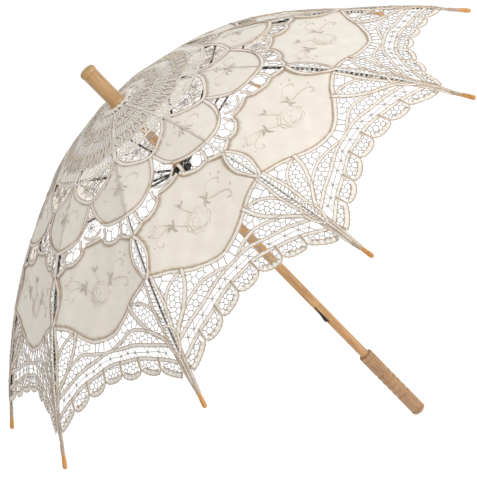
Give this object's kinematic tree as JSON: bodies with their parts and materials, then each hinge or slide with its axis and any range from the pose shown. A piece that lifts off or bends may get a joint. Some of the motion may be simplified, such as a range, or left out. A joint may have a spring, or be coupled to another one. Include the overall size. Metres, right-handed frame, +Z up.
{
  "type": "lace parasol",
  "caption": "Open lace parasol with a folding ribbed canopy of embroidered medallions and tape lace, a sliding runner, a wooden shaft and a grooved grip.",
  "frame": {"origin": "on the shaft axis, in the middle of the grooved grip", "axes": "+Z up the shaft to the ferrule; +X towards the first rib"},
  "size_m": [0.8014, 0.7626, 0.656],
  "materials": {
    "shaft_wood": "satin varnish",
    "handle_wood": "satin varnish",
    "tip_wood": "gloss varnish",
    "lace_cloth": "cotton lace and plain weave",
    "black_steel": "black lacquer",
    "black_nylon": "moulded",
    "bright_steel": "drawn wire"
  },
  "bodies": {
    "shaft_and_handle": {"shaft": "shaft_wood", "ferrule": "shaft_wood", "handle": "handle_wood", "stop_pin": "bright_steel", "crown_notch": "black_nylon", "crown_wire": "bright_steel", "crown_disc": "lace_cloth", "lower_catch_pin": "bright_steel", "upper_catch_pin": "bright_steel"},
    "runner": {"runner_head": "black_nylon", "runner_tube": "black_steel", "runner_wire": "bright_steel"},
    "lower_catch": {"lower_catch": "black_steel"},
    "upper_catch": {"upper_catch": "black_steel"},
    "rib_01": {"rib_01": "black_steel", "rib_tip_01": "tip_wood"},
    "stretcher_01": {"stretcher_01": "black_steel"},
    "canopy_01": {"canopy_panel_01": "lace_cloth"},
    "rib_02": {"rib_02": "black_steel", "rib_tip_02": "tip_wood"},
    "stretcher_02": {"stretcher_02": "black_steel"},
    "canopy_02": {"canopy_panel_02": "lace_cloth"},
    "rib_03": {"rib_03": "black_steel", "rib_tip_03": "tip_wood"},
    "stretcher_03": {"stretcher_03": "black_steel"},
    "canopy_03": {"canopy_panel_03": "lace_cloth"},
    "rib_04": {"rib_04": "black_steel", "rib_tip_04": "tip_wood"},
    "stretcher_04": {"stretcher_04": "black_steel"},
    "canopy_04": {"canopy_panel_04": "lace_cloth"},
    "rib_05": {"rib_05": "black_steel", "rib_tip_05": "tip_wood"},
    "stretcher_05": {"stretcher_05": "black_steel"},
    "canopy_05": {"canopy_panel_05": "lace_cloth"},
    "rib_06": {"rib_06": "black_steel", "rib_tip_06": "tip_wood"},
    "stretcher_06": {"stretcher_06": "black_steel"},
    "canopy_06": {"canopy_panel_06": "lace_cloth"},
    "rib_07": {"rib_07": "black_steel", "rib_tip_07": "tip_wood"},
    "stretcher_07": {"stretcher_07": "black_steel"},
    "canopy_07": {"canopy_panel_07": "lace_cloth"},
    "rib_08": {"rib_08": "black_steel", "rib_tip_08": "tip_wood"},
    "stretcher_08": {"stretcher_08": "black_steel"},
    "canopy_08": {"canopy_panel_08": "lace_cloth"},
    "rib_09": {"rib_09": "black_steel", "rib_tip_09": "tip_wood"},
    "stretcher_09": {"stretcher_09": "black_steel"},
    "canopy_09": {"canopy_panel_09": "lace_cloth"},
    "rib_10": {"rib_10": "black_steel", "rib_tip_10": "tip_wood"},
    "stretcher_10": {"stretcher_10": "black_steel"},
    "canopy_10": {"canopy_panel_10": "lace_cloth"}
  },
  "joints": [
    {"name": "runner_slide", "type": "slide", "parent": "shaft_and_handle", "child": "runner", "axis": [0, 0, -1], "range_m": [0, 0.24125], "deforming": ["canopy_panel_01", "canopy_panel_02", "canopy_panel_03", "canopy_panel_04", "canopy_panel_05", "canopy_panel_06", "canopy_panel_07", "canopy_panel_08", "canopy_panel_09", "canopy_panel_10", "lower_catch", "upper_catch"]},
    {"name": "rib_01_fold", "type": "hinge", "parent": "shaft_and_handle", "child": "rib_01", "pos_m": [0.01, 0, 0.536], "axis": [0, 1, 0], "range_deg": [0, 60.41]},
    {"name": "stretcher_01_fold", "type": "hinge", "parent": "rib_01", "child": "stretcher_01", "pos_m": [0.18379, 0, 0.49251], "axis": [0, -1, 0], "range_deg": [0, 113.96]},
    {"name": "canopy_01_fold", "type": "hinge", "parent": "shaft_and_handle", "child": "canopy_01", "pos_m": [0.00904, 0.00294, 0.536], "axis": [-0.309, 0.9511, 0], "range_deg": [0, 60.41]},
    {"name": "rib_02_fold", "type": "hinge", "parent": "shaft_and_handle", "child": "rib_02", "pos_m": [0.00809, 0.00588, 0.536], "axis": [-0.5878, 0.809, 0], "range_deg": [0, 60.41]},
    {"name": "stretcher_02_fold", "type": "hinge", "parent": "rib_02", "child": "stretcher_02", "pos_m": [0.14869, 0.10803, 0.49251], "axis": [0.5878, -0.809, 0], "range_deg": [0, 113.96]},
    {"name": "canopy_02_fold", "type": "hinge", "parent": "shaft_and_handle", "child": "canopy_02", "pos_m": [0.00559, 0.00769, 0.536], "axis": [-0.809, 0.5878, 0], "range_deg": [0, 60.41]},
    {"name": "rib_03_fold", "type": "hinge", "parent": "shaft_and_handle", "child": "rib_03", "pos_m": [0.00309, 0.00951, 0.536], "axis": [-0.9511, 0.309, 0], "range_deg": [0, 60.41]},
    {"name": "stretcher_03_fold", "type": "hinge", "parent": "rib_03", "child": "stretcher_03", "pos_m": [0.05679, 0.1748, 0.49251], "axis": [0.9511, -0.309, 0], "range_deg": [0, 113.96]},
    {"name": "canopy_03_fold", "type": "hinge", "parent": "shaft_and_handle", "child": "canopy_03", "pos_m": [0, 0.00951, 0.536], "axis": [-1, 0, 0], "range_deg": [0, 60.41]},
    {"name": "rib_04_fold", "type": "hinge", "parent": "shaft_and_handle", "child": "rib_04", "pos_m": [-0.00309, 0.00951, 0.536], "axis": [-0.9511, -0.309, 0], "range_deg": [0, 60.41]},
    {"name": "stretcher_04_fold", "type": "hinge", "parent": "rib_04", "child": "stretcher_04", "pos_m": [-0.05679, 0.1748, 0.49251], "axis": [0.9511, 0.309, 0], "range_deg": [0, 113.96]},
    {"name": "canopy_04_fold", "type": "hinge", "parent": "shaft_and_handle", "child": "canopy_04", "pos_m": [-0.00559, 0.00769, 0.536], "axis": [-0.809, -0.5878, 0], "range_deg": [0, 60.41]},
    {"name": "rib_05_fold", "type": "hinge", "parent": "shaft_and_handle", "child": "rib_05", "pos_m": [-0.00809, 0.00588, 0.536], "axis": [-0.5878, -0.809, 0], "range_deg": [0, 60.41]},
    {"name": "stretcher_05_fold", "type": "hinge", "parent": "rib_05", "child": "stretcher_05", "pos_m": [-0.14869, 0.10803, 0.49251], "axis": [0.5878, 0.809, 0], "range_deg": [0, 113.96]},
    {"name": "canopy_05_fold", "type": "hinge", "parent": "shaft_and_handle", "child": "canopy_05", "pos_m": [-0.00904, 0.00294, 0.536], "axis": [-0.309, -0.9511, 0], "range_deg": [0, 60.41]},
    {"name": "rib_06_fold", "type": "hinge", "parent": "shaft_and_handle", "child": "rib_06", "pos_m": [-0.01, 0, 0.536], "axis": [0, -1, 0], "range_deg": [0, 60.41]},
    {"name": "stretcher_06_fold", "type": "hinge", "parent": "rib_06", "child": "stretcher_06", "pos_m": [-0.18379, 0, 0.49251], "axis": [0, 1, 0], "range_deg": [0, 113.96]},
    {"name": "canopy_06_fold", "type": "hinge", "parent": "shaft_and_handle", "child": "canopy_06", "pos_m": [-0.00904, -0.00294, 0.536], "axis": [0.309, -0.9511, 0], "range_deg": [0, 60.41]},
    {"name": "rib_07_fold", "type": "hinge", "parent": "shaft_and_handle", "child": "rib_07", "pos_m": [-0.00809, -0.00588, 0.536], "axis": [0.5878, -0.809, 0], "range_deg": [0, 60.41]},
    {"name": "stretcher_07_fold", "type": "hinge", "parent": "rib_07", "child": "stretcher_07", "pos_m": [-0.14869, -0.10803, 0.49251], "axis": [-0.5878, 0.809, 0], "range_deg": [0, 113.96]},
    {"name": "canopy_07_fold", "type": "hinge", "parent": "shaft_and_handle", "child": "canopy_07", "pos_m": [-0.00559, -0.00769, 0.536], "axis": [0.809, -0.5878, 0], "range_deg": [0, 60.41]},
    {"name": "rib_08_fold", "type": "hinge", "parent": "shaft_and_handle", "child": "rib_08", "pos_m": [-0.00309, -0.00951, 0.536], "axis": [0.9511, -0.309, 0], "range_deg": [0, 60.41]},
    {"name": "stretcher_08_fold", "type": "hinge", "parent": "rib_08", "child": "stretcher_08", "pos_m": [-0.05679, -0.1748, 0.49251], "axis": [-0.9511, 0.309, 0], "range_deg": [0, 113.96]},
    {"name": "canopy_08_fold", "type": "hinge", "parent": "shaft_and_handle", "child": "canopy_08", "pos_m": [0, -0.00951, 0.536], "axis": [1, 0, 0], "range_deg": [0, 60.41]},
    {"name": "rib_09_fold", "type": "hinge", "parent": "shaft_and_handle", "child": "rib_09", "pos_m": [0.00309, -0.00951, 0.536], "axis": [0.9511, 0.309, 0], "range_deg": [0, 60.41]},
    {"name": "stretcher_09_fold", "type": "hinge", "parent": "rib_09", "child": "stretcher_09", "pos_m": [0.05679, -0.1748, 0.49251], "axis": [-0.9511, -0.309, 0], "range_deg": [0, 113.96]},
    {"name": "canopy_09_fold", "type": "hinge", "parent": "shaft_and_handle", "child": "canopy_09", "pos_m": [0.00559, -0.00769, 0.536], "axis": [0.809, 0.5878, 0], "range_deg": [0, 60.41]},
    {"name": "rib_10_fold", "type": "hinge", "parent": "shaft_and_handle", "child": "rib_10", "pos_m": [0.00809, -0.00588, 0.536], "axis": [0.5878, 0.809, 0], "range_deg": [0, 60.41]},
    {"name": "stretcher_10_fold", "type": "hinge", "parent": "rib_10", "child": "stretcher_10", "pos_m": [0.14869, -0.10803, 0.49251], "axis": [-0.5878, -0.809, 0], "range_deg": [0, 113.96]},
    {"name": "canopy_10_fold", "type": "hinge", "parent": "shaft_and_handle", "child": "canopy_10", "pos_m": [0.00904, -0.00294, 0.536], "axis": [0.309, 0.9511, 0], "range_deg": [0, 60.41]},
    {"name": "lower_catch_press", "type": "hinge", "parent": "shaft_and_handle", "child": "lower_catch", "pos_m": [-0.00212, -0.00291, 0.158], "axis": [0.809, -0.5878, 0], "range_deg": [0, 12], "stiffness_Nm_per_rad": 0.08},
    {"name": "upper_catch_press", "type": "hinge", "parent": "shaft_and_handle", "child": "upper_catch", "pos_m": [-0.00212, -0.00291, 0.34945], "axis": [-0.809, 0.5878, 0], "range_deg": [0, 12], "stiffness_Nm_per_rad": 0.08}
  ],
  "couplings": [
    {"joint": "rib_01_fold", "follows": "runner_slide", "rad_per_m": 4.369},
    {"joint": "stretcher_01_fold", "follows": "runner_slide", "rad_per_m": 8.2433},
    {"joint": "canopy_01_fold", "follows": "runner_slide", "rad_per_m": 4.369},
    {"joint": "rib_02_fold", "follows": "runner_slide", "rad_per_m": 4.369},
    {"joint": "stretcher_02_fold", "follows": "runner_slide", "rad_per_m": 8.2433},
    {"joint": "canopy_02_fold", "follows": "runner_slide", "rad_per_m": 4.369},
    {"joint": "rib_03_fold", "follows": "runner_slide", "rad_per_m": 4.369},
    {"joint": "stretcher_03_fold", "follows": "runner_slide", "rad_per_m": 8.2433},
    {"joint": "canopy_03_fold", "follows": "runner_slide", "rad_per_m": 4.369},
    {"joint": "rib_04_fold", "follows": "runner_slide", "rad_per_m": 4.369},
    {"joint": "stretcher_04_fold", "follows": "runner_slide", "rad_per_m": 8.2433},
    {"joint": "canopy_04_fold", "follows": "runner_slide", "rad_per_m": 4.369},
    {"joint": "rib_05_fold", "follows": "runner_slide", "rad_per_m": 4.369},
    {"joint": "stretcher_05_fold", "follows": "runner_slide", "rad_per_m": 8.2433},
    {"joint": "canopy_05_fold", "follows": "runner_slide", "rad_per_m": 4.369},
    {"joint": "rib_06_fold", "follows": "runner_slide", "rad_per_m": 4.369},
    {"joint": "stretcher_06_fold", "follows": "runner_slide", "rad_per_m": 8.2433},
    {"joint": "canopy_06_fold", "follows": "runner_slide", "rad_per_m": 4.369},
    {"joint": "rib_07_fold", "follows": "runner_slide", "rad_per_m": 4.369},
    {"joint": "stretcher_07_fold", "follows": "runner_slide", "rad_per_m": 8.2433},
    {"joint": "canopy_07_fold", "follows": "runner_slide", "rad_per_m": 4.369},
    {"joint": "rib_08_fold", "follows": "runner_slide", "rad_per_m": 4.369},
    {"joint": "stretcher_08_fold", "follows": "runner_slide", "rad_per_m": 8.2433},
    {"joint": "canopy_08_fold", "follows": "runner_slide", "rad_per_m": 4.369},
    {"joint": "rib_09_fold", "follows": "runner_slide", "rad_per_m": 4.369},
    {"joint": "stretcher_09_fold", "follows": "runner_slide", "rad_per_m": 8.2433},
    {"joint": "canopy_09_fold", "follows": "runner_slide", "rad_per_m": 4.369},
    {"joint": "rib_10_fold", "follows": "runner_slide", "rad_per_m": 4.369},
    {"joint": "stretcher_10_fold", "follows": "runner_slide", "rad_per_m": 8.2433},
    {"joint": "canopy_10_fold", "follows": "runner_slide", "rad_per_m": 4.369}
  ]
}
